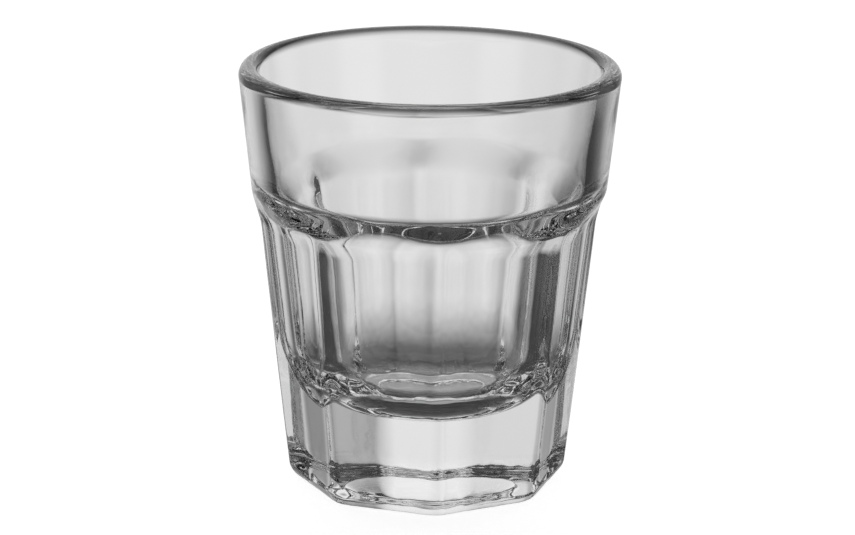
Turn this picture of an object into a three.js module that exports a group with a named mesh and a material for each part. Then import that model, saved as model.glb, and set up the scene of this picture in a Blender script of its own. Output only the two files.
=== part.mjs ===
import * as THREE from 'three';
import { mergeVertices } from 'three/addons/utils/BufferGeometryUtils.js';

// A heavy pressed shot glass, one piece of glass, standing on its foot with the axis along +Z.
// All sizes are in millimetres and all angles in degrees.

// Outside
const HEIGHT = 57; // table to the top of the lip
const RIM_RADIUS = 25.2; // outside of the round band, at the lip
const FOOT_RADIUS = 18.55; // outside of the ribs, carried down to the table
const HEEL_RADIUS = 2.4; // rounding between the side and the underside

// Pressed panels
const PANEL_COUNT = 8;
const FRONT_RIB_ANGLE = 4.1; // from -Y towards +X, to the rib that faces the viewer
const SHOULDER_HEIGHT = 37.7; // middle of the shoulder, at a rib
const SHOULDER_ARCH = 0.6; // how much higher the shoulder is at the middle of a panel
const SHOULDER_LENGTH = 5.6; // height over which the shoulder steps in
const RIB_INSET = 0.75; // step from the band in to a rib
const RIB_ROUNDING = 3; // rounding of the ribs between two flat panels
const HEEL_RIB_ROUNDING = 9; // the same, at the table
const RIB_FADE_HEIGHT = 10; // height below which the ribs get rounder

// Lip and bowl
const LIP_THICKNESS = 2.85; // the lip is a full round of this thickness
const MOUTH_TAPER = 7; // lean of the bowl wall above the ledge
const LEDGE_RISE = 2; // middle of the ledge in the bowl, above the middle of the shoulder
const LEDGE_LENGTH = 4.6; // height over which the ledge steps in
const LEDGE_DEPTH = 2.2; // how far the bowl wall steps in at the ledge
const FLOOR_HEIGHT = 11.8; // table to the floor of the bowl
const BOWL_FLOOR_RADIUS = 15; // bowl wall below the ledge, carried down to the level of its floor
const BOWL_CORNER_RADIUS = 9.5; // rounding between the bowl wall and its floor

// Underside
const RECESS_RADIUS = 9.2; // recess in the foot, at the table
const RECESS_DEPTH = 1.2;
const RECESS_SQUARENESS = 0.4; // 1 for an elliptic dome, towards 0 for a flat roof with upright walls

// Fineness of the faceting
const STEPS_PER_PANEL = 12;
const ARC_STEPS = 6;
const STEP_STEPS = 12; // across the shoulder or the ledge

// Sizes that follow from the ones above
const halfPanel = Math.PI / PANEL_COUNT;
const lipRadius = LIP_THICKNESS / 2;
const lipCentre = new THREE.Vector2(RIM_RADIUS - lipRadius, HEIGHT - lipRadius);
const outsideSlope = (RIM_RADIUS - RIB_INSET - FOOT_RADIUS) / lipCentre.y;
const outsideTilt = Math.atan(outsideSlope);
const mouthTilt = THREE.MathUtils.degToRad(MOUTH_TAPER);
const mouthSlope = Math.tan(mouthTilt);
const ledgeHeight = SHOULDER_HEIGHT + LEDGE_RISE;

const smoothStep = (t) => {
  const c = Math.min(1, Math.max(0, t));
  return c * c * (3 - 2 * c);
};

// Radius of the round band at a height, carried on down to the table.
const bandRadius = (z) => RIM_RADIUS - outsideSlope * (lipCentre.y - z);

// Radius of the bowl wall above the ledge, carried on down, and of the wall below it, carried on up.
const mouthRadius = (z) => RIM_RADIUS - LIP_THICKNESS - mouthSlope * (lipCentre.y - z);
const lowerSlope = (mouthRadius(ledgeHeight) - LEDGE_DEPTH - BOWL_FLOOR_RADIUS) / (ledgeHeight - FLOOR_HEIGHT);
const lowerRadius = (z) => BOWL_FLOOR_RADIUS + lowerSlope * (z - FLOOR_HEIGHT);
const bowlRadius = (z) => {
  const below = smoothStep((ledgeHeight - z) / LEDGE_LENGTH + 1 / 2);
  return THREE.MathUtils.lerp(mouthRadius(z), lowerRadius(z), below);
};

// Points of a circular arc, both ends included. Angles in radians, from outwards to upwards.
function arc(centre, radius, from, to, steps) {
  const points = [];
  for (let i = 0; i <= steps; i += 1) {
    const a = THREE.MathUtils.lerp(from, to, i / steps);
    points.push(new THREE.Vector2(centre.x + radius * Math.cos(a), centre.y + radius * Math.sin(a)));
  }
  return points;
}

// Points of a wall whose radius follows from the height, both ends included.
function wall(radiusAt, from, to, steps) {
  const points = [];
  for (let i = 0; i <= steps; i += 1) {
    const z = THREE.MathUtils.lerp(from, to, i / steps);
    points.push(new THREE.Vector2(radiusAt(z), z));
  }
  return points;
}

// Half section of the underside: the domed recess, from its middle to the table.
function recessSection() {
  const points = [];
  for (let i = 0; i <= ARC_STEPS; i += 1) {
    const a = (Math.PI / 2) * (i / ARC_STEPS);
    const rise = i < ARC_STEPS ? Math.cos(a) ** RECESS_SQUARENESS : 0;
    points.push(new THREE.Vector2(RECESS_RADIUS * Math.sin(a), RECESS_DEPTH * rise));
  }
  return points;
}

// Half section of the outside: heel, side and shoulder, up to the lip.
function outsideSection() {
  const heelCentre = new THREE.Vector2(0, HEEL_RADIUS);
  heelCentre.x = bandRadius(HEEL_RADIUS) - HEEL_RADIUS / Math.cos(outsideTilt);
  const heel = arc(heelCentre, HEEL_RADIUS, -Math.PI / 2, -outsideTilt, ARC_STEPS);
  const heelTop = heel[heel.length - 1].y;
  const shoulderLow = SHOULDER_HEIGHT - SHOULDER_LENGTH / 2;
  const shoulderHigh = SHOULDER_HEIGHT + SHOULDER_ARCH + SHOULDER_LENGTH / 2;
  return [
    ...heel,
    ...wall(bandRadius, heelTop, RIB_FADE_HEIGHT, ARC_STEPS / 3).slice(1),
    ...wall(bandRadius, RIB_FADE_HEIGHT, shoulderLow, 1).slice(1),
    ...wall(bandRadius, shoulderLow, shoulderHigh, STEP_STEPS).slice(1),
  ];
}

// Half section of the lip, the bowl wall with its ledge, the bowl corner and the floor.
function insideSection() {
  const lip = arc(lipCentre, lipRadius, -outsideTilt, Math.PI - mouthTilt, ARC_STEPS * 2);
  const lowerTilt = Math.atan(lowerSlope);
  const cornerCentre = new THREE.Vector2(0, FLOOR_HEIGHT + BOWL_CORNER_RADIUS);
  cornerCentre.x = lowerRadius(cornerCentre.y) - BOWL_CORNER_RADIUS / Math.cos(lowerTilt);
  const corner = arc(cornerCentre, BOWL_CORNER_RADIUS, -lowerTilt, -Math.PI / 2, ARC_STEPS * 2);
  const ledgeHigh = ledgeHeight + LEDGE_LENGTH / 2;
  const ledgeLow = ledgeHeight - LEDGE_LENGTH / 2;
  return [
    ...lip,
    ...wall(bowlRadius, ledgeHigh, ledgeLow, STEP_STEPS),
    ...corner,
    new THREE.Vector2(0, FLOOR_HEIGHT),
  ];
}

// Rounding of the ribs at a height.
const ribRounding = (z) => {
  return THREE.MathUtils.lerp(HEEL_RIB_ROUNDING, RIB_ROUNDING, smoothStep(z / RIB_FADE_HEIGHT));
};

// How far the flat panels and their rounded ribs lie inside the rib circle, at an angle from the middle of a panel.
function panelDepth(angle, ribRadius, rounding) {
  const flatDistance = RIB_ROUNDING + (ribRadius - RIB_ROUNDING) * Math.cos(halfPanel);
  const cornerDistance = (flatDistance - rounding) / Math.cos(halfPanel);
  const t = Math.abs(angle);
  if (flatDistance * Math.tan(t) <= cornerDistance * Math.sin(halfPanel)) {
    return ribRadius - flatDistance / Math.cos(t);
  }
  const fromRib = halfPanel - t;
  const across = cornerDistance * Math.sin(fromRib);
  const along = cornerDistance * Math.cos(fromRib);
  return ribRadius - along - Math.sqrt(rounding * rounding - across * across);
}

// How far the outside of the turned blank is pressed in at a height and an angle from the middle of a panel.
function pressing(z, angle) {
  const arch = SHOULDER_ARCH * (1 - (angle / halfPanel) ** 2);
  const below = smoothStep((SHOULDER_HEIGHT + arch - z) / SHOULDER_LENGTH + 1 / 2);
  return below * (RIB_INSET + panelDepth(angle, bandRadius(z) - RIB_INSET, ribRounding(z)));
}

function withoutEmptyTriangles(geometry) {
  const index = geometry.getIndex();
  const kept = [];
  for (let i = 0; i < index.count; i += 3) {
    const a = index.getX(i);
    const b = index.getX(i + 1);
    const c = index.getX(i + 2);
    if (a !== b && b !== c && c !== a) {
      kept.push(a, b, c);
    }
  }
  geometry.setIndex(kept);
  return geometry;
}

// Turns the round blank, draws its steps together at the ribs and presses the panels into its outside.
function glassGeometry() {
  const recess = recessSection();
  const outside = outsideSection();
  const profile = [...recess, ...outside, ...insideSection()];
  const steps = PANEL_COUNT * STEPS_PER_PANEL;
  const turned = new THREE.LatheGeometry(profile, steps);
  const position = turned.getAttribute('position');
  const frontRib = THREE.MathUtils.degToRad(FRONT_RIB_ANGLE);
  for (let i = 0; i <= steps; i += 1) {
    const panel = Math.floor((i % steps) / STEPS_PER_PANEL);
    const across = ((i % STEPS_PER_PANEL) / STEPS_PER_PANEL) * 2 - 1;
    const angle = halfPanel * Math.sin((across * Math.PI) / 2);
    const turn = frontRib + (2 * panel + 1) * halfPanel + angle;
    profile.forEach((point, j) => {
      const isOutside = j >= recess.length && j < recess.length + outside.length;
      const radius = point.x - (isOutside ? pressing(point.y, angle) : 0);
      position.setXYZ(i * profile.length + j, radius * Math.sin(turn), -radius * Math.cos(turn), point.y);
    });
  }
  turned.deleteAttribute('normal');
  turned.deleteAttribute('uv');
  const closed = withoutEmptyTriangles(mergeVertices(turned));
  closed.computeVertexNormals();
  return closed;
}

const clearGlass = new THREE.MeshStandardMaterial({ color: 0xe9eeee, roughness: 0.05, metalness: 0 });

const glass = new THREE.Mesh(glassGeometry(), clearGlass);
glass.name = 'glass';

const shotGlass = new THREE.Group();
shotGlass.name = 'shot_glass';
shotGlass.add(glass);

export default shotGlass;
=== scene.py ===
import math

import bpy
import numpy as np
from mathutils import Matrix, noise


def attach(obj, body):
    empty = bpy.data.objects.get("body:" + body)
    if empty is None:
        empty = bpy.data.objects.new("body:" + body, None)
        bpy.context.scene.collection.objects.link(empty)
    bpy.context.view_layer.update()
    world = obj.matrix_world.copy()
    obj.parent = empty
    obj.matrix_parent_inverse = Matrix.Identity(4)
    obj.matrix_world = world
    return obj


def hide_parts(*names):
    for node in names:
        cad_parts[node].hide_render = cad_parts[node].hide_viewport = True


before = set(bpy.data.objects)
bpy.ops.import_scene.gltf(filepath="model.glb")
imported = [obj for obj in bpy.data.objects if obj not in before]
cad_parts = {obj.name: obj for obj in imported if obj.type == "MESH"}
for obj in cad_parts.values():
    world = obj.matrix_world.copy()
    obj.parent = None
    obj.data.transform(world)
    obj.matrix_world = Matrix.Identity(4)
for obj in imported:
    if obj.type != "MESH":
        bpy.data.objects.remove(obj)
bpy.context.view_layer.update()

# Sizes of the glass in millimetres and degrees, as in the solid, apart from the ribs' rounding at the heel:
# here the ribs stay crisper down to the foot

HEIGHT = 57.0
RIM_RADIUS = 25.2
FOOT_RADIUS = 18.55
HEEL_RADIUS = 2.4

PANEL_COUNT = 8
FRONT_RIB_ANGLE = 4.1
SHOULDER_HEIGHT = 37.7
SHOULDER_ARCH = 0.6
SHOULDER_LENGTH = 5.6
RIB_INSET = 0.75
RIB_ROUNDING = 3.0
HEEL_RIB_ROUNDING = 4.0
RIB_FADE_HEIGHT = 10.0

LIP_THICKNESS = 2.85
MOUTH_TAPER = 7.0
LEDGE_RISE = 2.0
LEDGE_LENGTH = 4.6
LEDGE_DEPTH = 2.2
FLOOR_HEIGHT = 11.8
BOWL_FLOOR_RADIUS = 15.0
BOWL_CORNER_RADIUS = 9.5

RECESS_RADIUS = 9.2
RECESS_DEPTH = 1.2
RECESS_SQUARENESS = 0.4

MM_PER_METRE = 1000

# Fineness of the mesh: steps along each run of the section and across each panel, which are partly even and
# partly crowded towards the ribs

STEPS = {
    "recess": 26,
    "ring": 10,
    "heel": 16,
    "base": 20,
    "side": 18,
    "shoulder": 28,
    "band": 16,
    "lip": 60,
    "mouth": 18,
    "ledge": 24,
    "bowl": 22,
    "corner": 34,
    "floor": 14,
}
STEPS_PER_PANEL = 36
EVEN_SHARE = 0.45
CROWDED_SHARE = 0.55

# Runs that the panels are pressed into. The foot ring takes up the panels' outline from its inner edge
# outwards.

PRESSED_RUNS = ("heel", "base", "side", "shoulder", "band")
RING_INNER_PRESS = 0.1

# Unevenness of the pressed surface: lengths of its broad and of its fine waves, their depths on each run
# of the section, and the number of rows over which one run's depth passes into the next

BROAD_WAVE = 7.0
FINE_WAVE = 1.2
UNEVENNESS = {
    "recess": (0.05, 0.01),
    "ring": (0.02, 0.005),
    "heel": (0.02, 0.04),
    "base": (0.04, 0.006),
    "side": (0.03, 0.004),
    "shoulder": (0.04, 0.01),
    "band": (0.03, 0.0),
    "lip": (0.0, 0.0),
    "mouth": (0.03, 0.003),
    "ledge": (0.03, 0.008),
    "bowl": (0.03, 0.006),
    "corner": (0.05, 0.025),
    "floor": (0.04, 0.02),
}
SOFTENED_ROWS = 9

# Look of the glass: how many faint clouds lie along a metre, and their tint

CLOUD_SCALE = 90.0
CLOUD_TINT = [(0.35, 0.985), (0.65, 1.0)]

# Studio: soft sheets of light around the glass, each a brightness by bearing times a share by height.
# Bearings are in degrees from straight behind the glass, positive to the right. Paired sheets stand alike
# on both sides. Heights are in degrees above the horizon.

WALL_HEIGHTS = [(-20, 0.0), (-15, 0.9), (10, 1.0), (50, 1.0), (80, 0.8)]
SHEETS = {
    "backdrop": (
        [(-45, 0.0), (-30, 0.7), (0, 0.85), (20, 0.55), (40, 0.15), (55, 0.0)],
        WALL_HEIGHTS,
    ),
    "table": (
        [(-45, 0.0), (-20, 0.65), (0, 0.7), (10, 0.6), (30, 0.0)],
        [(-60, 0.0), (-40, 0.15), (-20, 1.0), (-15, 0.0)],
    ),
}
PAIRED_SHEETS = {
    "sides": (
        [(35, 0.0), (50, 0.6), (70, 0.6), (80, 0.0)],
        WALL_HEIGHTS,
    ),
    "rear": (
        [(75, 0.0), (85, 0.7), (100, 0.7), (110, 0.4), (150, 0.8)],
        [(-35, 0.0), (-20, 0.9), (-10, 0.9), (-5, 0.3), (15, 0.3), (45, 0.0)],
    ),
    "ground": (
        [(60, 0.15), (110, 0.3)],
        [(-70, 1.0), (-55, 0.0)],
    ),
    "strips": (
        [(110, 0.0), (120, 0.6), (140, 0.6), (150, 0.0)],
        [(-15, 0.0), (-10, 1.0), (5, 1.0), (10, 0.0)],
    ),
}
ROOM_LEVEL = 0.04

# Floor, in metres: half its width, its gap to the foot, its greys, and the painted shade under the foot (a
# dim disc seen only in the glass, standing for the foot's shadow) from front to back as shares of the shaded
# disc

FLOOR_REACH = 4
FLOOR_GAP = 0.0001
FLOOR_GREY = 0.8
FLOOR_WHITE = 0.84
UNDER_RADIUS = 0.0155
PAINTED_SHADE_BY_DEPTH = [(0.25, 0.03), (0.45, 0.06), (0.6, 0.3)]

# Camera at the photograph's place: metres, radians, and millimetres for the lens

CAMERA_PLACE = (-0.00015, -0.4444, 0.1561)
CAMERA_PITCH = 0.2784
CAMERA_ROLL = 0.008
CAMERA_LENS = 145.68
CAMERA_SENSOR = 36
CAMERA_NEAR = 0.01

BOUNCES = 10

# Section of the glass

half_panel = math.pi / PANEL_COUNT
lip_radius = LIP_THICKNESS / 2
lip_x = RIM_RADIUS - lip_radius
lip_z = HEIGHT - lip_radius
outside_slope = (RIM_RADIUS - RIB_INSET - FOOT_RADIUS) / lip_z
outside_tilt = math.atan(outside_slope)
mouth_tilt = math.radians(MOUTH_TAPER)
ledge_height = SHOULDER_HEIGHT + LEDGE_RISE


def smooth_step(t):
    c = np.clip(t, 0, 1)
    return c * c * (3 - 2 * c)


def band_radius(z):
    return RIM_RADIUS - outside_slope * (lip_z - z)


def mouth_radius(z):
    return RIM_RADIUS - LIP_THICKNESS - math.tan(mouth_tilt) * (lip_z - z)


lower_top = mouth_radius(ledge_height) - LEDGE_DEPTH
lower_slope = (lower_top - BOWL_FLOOR_RADIUS) / (ledge_height - FLOOR_HEIGHT)
lower_tilt = math.atan(lower_slope)


def lower_radius(z):
    return BOWL_FLOOR_RADIUS + lower_slope * (z - FLOOR_HEIGHT)


def bowl_radius(z):
    below = smooth_step((ledge_height - z) / LEDGE_LENGTH + 0.5)
    return mouth_radius(z) + (lower_radius(z) - mouth_radius(z)) * below


def arc(x, z, radius, start, end, steps):
    a = np.linspace(start, end, steps + 1)
    return np.column_stack((x + radius * np.cos(a), z + radius * np.sin(a)))


def wall(radius_at, start, end, steps):
    z = np.linspace(start, end, steps + 1)
    return np.column_stack((radius_at(z), z))


def level_run(start, end, z, steps):
    x = np.linspace(start, end, steps + 1)
    return np.column_stack((x, np.full(steps + 1, z)))


def outside_runs():
    """Runs of points (radius, height) from the middle of the underside, up the outside and over the lip."""
    turn = np.linspace(0, math.pi / 2, STEPS["recess"] + 1)
    rise = np.maximum(np.cos(turn), 0) ** RECESS_SQUARENESS
    rise[-1] = 0
    recess = np.column_stack((RECESS_RADIUS * np.sin(turn), RECESS_DEPTH * rise))
    heel_x = band_radius(HEEL_RADIUS) - HEEL_RADIUS / math.cos(outside_tilt)
    heel = arc(heel_x, HEEL_RADIUS, HEEL_RADIUS, -math.pi / 2, -outside_tilt, STEPS["heel"])
    shoulder_low = SHOULDER_HEIGHT - SHOULDER_LENGTH / 2
    shoulder_high = SHOULDER_HEIGHT + SHOULDER_ARCH + SHOULDER_LENGTH / 2
    lip = arc(lip_x, lip_z, lip_radius, -outside_tilt, math.pi - mouth_tilt, STEPS["lip"])
    return {
        "recess": recess,
        "ring": level_run(RECESS_RADIUS, heel_x, 0, STEPS["ring"])[1:],
        "heel": heel[1:],
        "base": wall(band_radius, heel[-1, 1], RIB_FADE_HEIGHT, STEPS["base"])[1:],
        "side": wall(band_radius, RIB_FADE_HEIGHT, shoulder_low, STEPS["side"])[1:],
        "shoulder": wall(band_radius, shoulder_low, shoulder_high, STEPS["shoulder"])[1:],
        "band": wall(band_radius, shoulder_high, lip[0, 1], STEPS["band"])[1:-1],
        "lip": lip,
    }


def inside_runs(lip_end):
    """Runs of points from the end of the lip down the bowl to the middle of its floor."""
    ledge_high = ledge_height + LEDGE_LENGTH / 2
    ledge_low = ledge_height - LEDGE_LENGTH / 2
    corner_z = FLOOR_HEIGHT + BOWL_CORNER_RADIUS
    corner_x = lower_radius(corner_z) - BOWL_CORNER_RADIUS / math.cos(lower_tilt)
    corner = arc(corner_x, corner_z, BOWL_CORNER_RADIUS, -lower_tilt, -math.pi / 2, STEPS["corner"])
    return {
        "mouth": wall(bowl_radius, lip_end, ledge_high, STEPS["mouth"])[1:],
        "ledge": wall(bowl_radius, ledge_high, ledge_low, STEPS["ledge"])[1:],
        "bowl": wall(bowl_radius, ledge_low, corner[0, 1], STEPS["bowl"])[1:-1],
        "corner": corner,
        "floor": level_run(corner_x, 0, FLOOR_HEIGHT, STEPS["floor"])[1:],
    }


# Panels pressed into the outside


def panel_depth(angle, rib_radius, rounding):
    """How far the panels and their rounded ribs lie inside the rib circle."""
    flat = RIB_ROUNDING + (rib_radius - RIB_ROUNDING) * math.cos(half_panel)
    corner = (flat - rounding) / math.cos(half_panel)
    t = np.abs(angle)
    across = corner * np.sin(half_panel - t)
    along = corner * np.cos(half_panel - t)
    on_rib = along + np.sqrt(np.maximum(rounding**2 - across**2, 0))
    on_flat = flat * np.tan(t) <= corner * math.sin(half_panel)
    return rib_radius - np.where(on_flat, flat / np.cos(t), on_rib)


def pressing(z, angle):
    """How far the outside of the round blank is pressed in."""
    to_heel = 1 - smooth_step(z / RIB_FADE_HEIGHT)
    rounding = RIB_ROUNDING + (HEEL_RIB_ROUNDING - RIB_ROUNDING) * to_heel
    arch = SHOULDER_ARCH * (1 - (angle / half_panel) ** 2)
    below = smooth_step((SHOULDER_HEIGHT + arch - z) / SHOULDER_LENGTH + 0.5)
    return below * (RIB_INSET + panel_depth(angle, band_radius(z) - RIB_INSET, rounding))


def press_shares(runs):
    """Share of the pressing that each row of the section takes."""
    shares = []
    for name, points in runs.items():
        if name == "ring":
            shares.append(np.linspace(RING_INNER_PRESS, 1, len(points)))
        else:
            shares.append(np.full(len(points), float(name in PRESSED_RUNS)))
    return np.concatenate(shares)[:, None]


# Surface waves


def soften(values):
    """Evens out the steps from one run of the section to the next."""
    kernel = np.ones(SOFTENED_ROWS) / SOFTENED_ROWS
    return np.convolve(np.pad(values, SOFTENED_ROWS // 2, mode="edge"), kernel, mode="valid")


def unevenness(runs, grid):
    """Height of the surface waves at each point, in millimetres."""
    depths = np.concatenate([np.tile(UNEVENNESS[name], (len(points), 1)) for name, points in runs.items()])
    broad = soften(depths[:, 0])[1:-1]
    fine = soften(depths[:, 1])[1:-1]
    waves = np.zeros(grid.shape[:2])
    for i, row in enumerate(grid):
        for j, point in enumerate(row):
            broad_wave = broad[i] * noise.noise(point / BROAD_WAVE)
            fine_wave = fine[i] * noise.noise(point / FINE_WAVE)
            waves[i, j] = broad_wave + fine_wave
    return waves


# Mesh of the glass


def panel_angles():
    """Angles of the mesh's columns: from the middle of their own panel, and around the glass."""
    across = np.linspace(-1, 1, STEPS_PER_PANEL + 1)[:-1]
    angle = half_panel * (EVEN_SHARE * across + CROWDED_SHARE * np.sin(across * math.pi / 2))
    middle = (2 * np.arange(PANEL_COUNT) + 1) * half_panel + math.radians(FRONT_RIB_ANGLE)
    around = (middle[:, None] + angle[None]).ravel()[None]
    return np.tile(angle, PANEL_COUNT)[None], around


def around_axis(radius, turn, z):
    return np.stack((radius * np.sin(turn), -radius * np.cos(turn), z), axis=-1)


def surface(runs, profile):
    """Points of the glass by row and column, without the two in the middle of the underside and the floor."""
    angle, turn = panel_angles()
    z = np.repeat(profile[1:-1, 1:], turn.size, axis=1)
    radius = profile[1:-1, :1] - press_shares(runs)[1:-1] * pressing(z, angle)
    along = np.gradient(profile, axis=0)[1:-1]
    along /= np.linalg.norm(along, axis=1)[:, None]
    waves = unevenness(runs, around_axis(radius, turn, z))
    return around_axis(radius + along[:, 1:] * waves, turn, z - along[:, :1] * waves)


def glass_mesh():
    runs = outside_runs()
    runs.update(inside_runs(runs["lip"][-1, 1]))
    profile = np.concatenate(list(runs.values()))
    grid = surface(runs, profile)
    rows, columns = grid.shape[:2]
    middles = [[0, 0, profile[0, 1]], [0, 0, profile[-1, 1]]]
    points = np.concatenate((grid.reshape(-1, 3), middles)) / MM_PER_METRE
    row = np.arange(rows - 1)[:, None] * columns
    this = np.arange(columns)[None]
    after = (this + 1) % columns
    quads = np.stack((row + this, row + after, row + columns + after, row + columns + this), axis=-1)
    under_middle = rows * columns
    last_row = (rows - 1) * columns
    under = np.stack((np.full(columns, under_middle), after[0], this[0]), axis=-1)
    over = np.stack((np.full(columns, under_middle + 1), last_row + this[0], last_row + after[0]), axis=-1)
    faces = quads.reshape(-1, 4).tolist() + under.tolist() + over.tolist()
    mesh = bpy.data.meshes.new("glass_body")
    mesh.from_pydata(points.tolist(), [], faces)
    mesh.polygons.foreach_set("use_smooth", np.ones(len(mesh.polygons), dtype=bool))
    mesh.update()
    return mesh


# Materials


class Nodes:
    """Small helper that builds one node tree."""

    def __init__(self, owner):
        owner.use_nodes = True
        self.tree = owner.node_tree
        self.tree.nodes.clear()

    def add(self, kind, **inputs):
        node = self.tree.nodes.new(kind)
        for name, value in inputs.items():
            self.set(node, name, value)
        return node

    def set(self, node, name, value):
        socket = node.inputs[name]
        if isinstance(value, bpy.types.NodeSocket):
            self.tree.links.new(value, socket)
        else:
            socket.default_value = value

    def math(self, operation, *values):
        node = self.tree.nodes.new("ShaderNodeMath")
        node.operation = operation
        for i, value in enumerate(values):
            self.set(node, i, value)
        return node.outputs[0]

    def ramp(self, value, stops):
        node = self.tree.nodes.new("ShaderNodeValToRGB")
        elements = node.color_ramp.elements
        while len(elements) < len(stops):
            elements.new(0.5)
        for element, (place, grey) in zip(elements, stops):
            element.position = place
            element.color = (grey, grey, grey, 1)
        self.set(node, 0, value)
        return node.outputs[0]

    def mix(self, share, first, second):
        node = self.add("ShaderNodeMixShader", Fac=share)
        self.set(node, 1, first.outputs[0])
        self.set(node, 2, second.outputs[0])
        return node

    def show(self, kind, shader):
        self.set(self.add(kind), "Surface", shader.outputs[0])


def glass_material():
    material = bpy.data.materials.new("clear_glass")
    n = Nodes(material)
    place = n.add("ShaderNodeTexCoord").outputs["Object"]
    cloud = n.add("ShaderNodeTexNoise", Vector=place, Scale=CLOUD_SCALE, Detail=2.0)
    body = n.add("ShaderNodeBsdfPrincipled")
    body.inputs["Roughness"].default_value = 0.0
    body.inputs["IOR"].default_value = 1.52
    body.inputs["Transmission Weight"].default_value = 1.0
    n.set(body, "Base Color", n.ramp(cloud.outputs["Fac"], CLOUD_TINT))
    n.show("ShaderNodeOutputMaterial", body)
    return material


def floor_material():
    """White with the glass's soft shadow. Through the glass the studio's own table shows, and under the foot
    a
    painted shade: a dim glowing disc, darker at the front, standing for the shadow there."""
    material = bpy.data.materials.new("studio_floor")
    n = Nodes(material)
    rays = n.add("ShaderNodeLightPath").outputs
    pale = n.add("ShaderNodeBsdfDiffuse", Color=(FLOOR_GREY, FLOOR_GREY, FLOOR_GREY, 1))
    white = n.add("ShaderNodeEmission", Strength=n.math("MULTIPLY", rays["Is Camera Ray"], FLOOR_WHITE))
    lit = n.add("ShaderNodeAddShader")
    n.set(lit, 0, pale.outputs[0])
    n.set(lit, 1, white.outputs[0])

    place = n.add("ShaderNodeTexCoord").outputs["Object"]
    distance = n.add("ShaderNodeVectorMath")
    distance.operation = "LENGTH"
    n.set(distance, 0, place)
    beyond = n.math("GREATER_THAN", distance.outputs["Value"], UNDER_RADIUS)
    backward = n.add("ShaderNodeSeparateXYZ", Vector=place).outputs["Y"]
    depth = n.math("MULTIPLY_ADD", backward, 0.5 / UNDER_RADIUS, 0.5)
    # Painted shade: a dim emission under the foot, darker towards the front, seen only in the glass in place
    # of the foot's shadow
    shade = n.add("ShaderNodeEmission", Strength=n.ramp(depth, PAINTED_SHADE_BY_DEPTH))
    through = n.mix(beyond, shade, n.add("ShaderNodeBsdfTransparent"))

    seen_in_glass = n.math("MAXIMUM", rays["Is Transmission Ray"], rays["Is Glossy Ray"])
    n.show("ShaderNodeOutputMaterial", n.mix(seen_in_glass, lit, through))
    return material


def shares_of_span(stops, lowest, span):
    """Stops in degrees as shares of a span of directions."""
    return [((angle - lowest) / span, level) for angle, level in stops]


def studio():
    world = bpy.data.worlds.new("studio")
    n = Nodes(world)
    toward = n.add("ShaderNodeSeparateXYZ", Vector=n.add("ShaderNodeTexCoord").outputs["Generated"])
    turn = n.math("ARCTAN2", toward.outputs["X"], toward.outputs["Y"])
    bearing = n.math("MULTIPLY_ADD", turn, 0.5 / math.pi, 0.5)
    either_side = n.math("DIVIDE", n.math("ABSOLUTE", turn), math.pi)
    height = n.math("MULTIPLY_ADD", n.math("ARCSINE", toward.outputs["Z"]), 1 / math.pi, 0.5)
    level = ROOM_LEVEL
    kinds = ((SHEETS, bearing, -180, 360), (PAIRED_SHEETS, either_side, 0, 180))
    for sheets, direction, lowest, span in kinds:
        for bearings, heights in sheets.values():
            across = n.ramp(direction, shares_of_span(bearings, lowest, span))
            upward = n.ramp(height, shares_of_span(heights, -90, 180))
            level = n.math("MULTIPLY_ADD", across, upward, level)
    seen_directly = n.add("ShaderNodeLightPath").outputs["Is Camera Ray"]
    background = n.add("ShaderNodeBackground", Color=n.math("MAXIMUM", level, seen_directly))
    n.show("ShaderNodeOutputWorld", background)
    return world


# The glass, the floor, the studio and the camera

scene = bpy.context.scene

glass = bpy.data.objects.new("glass_body", glass_mesh())
scene.collection.objects.link(glass)
glass.data.materials.append(glass_material())
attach(glass, "root")
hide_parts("glass")

floor_corners = [(x * FLOOR_REACH, y * FLOOR_REACH, 0) for x, y in ((-1, -1), (1, -1), (1, 1), (-1, 1))]
floor_mesh = bpy.data.meshes.new("floor")
floor_mesh.from_pydata(floor_corners, [], [(0, 1, 2, 3)])
floor_mesh.materials.append(floor_material())
floor = bpy.data.objects.new("floor", floor_mesh)
floor.location.z = -FLOOR_GAP
scene.collection.objects.link(floor)

scene.world = studio()

camera = bpy.data.objects.new("camera", bpy.data.cameras.new("camera"))
camera.data.sensor_width = CAMERA_SENSOR
camera.data.lens = CAMERA_LENS
camera.data.clip_start = CAMERA_NEAR
pitch = Matrix.Rotation(math.pi / 2 - CAMERA_PITCH, 4, "X")
roll = Matrix.Rotation(CAMERA_ROLL, 4, "Z")
camera.matrix_world = Matrix.Translation(CAMERA_PLACE) @ pitch @ roll
scene.collection.objects.link(camera)
bpy.context.scene.camera = camera

scene.view_settings.view_transform = "Standard"
scene.cycles.max_bounces = BOUNCES
scene.cycles.transmission_bounces = BOUNCES
scene.cycles.glossy_bounces = BOUNCES
scene.cycles.transparent_max_bounces = BOUNCES
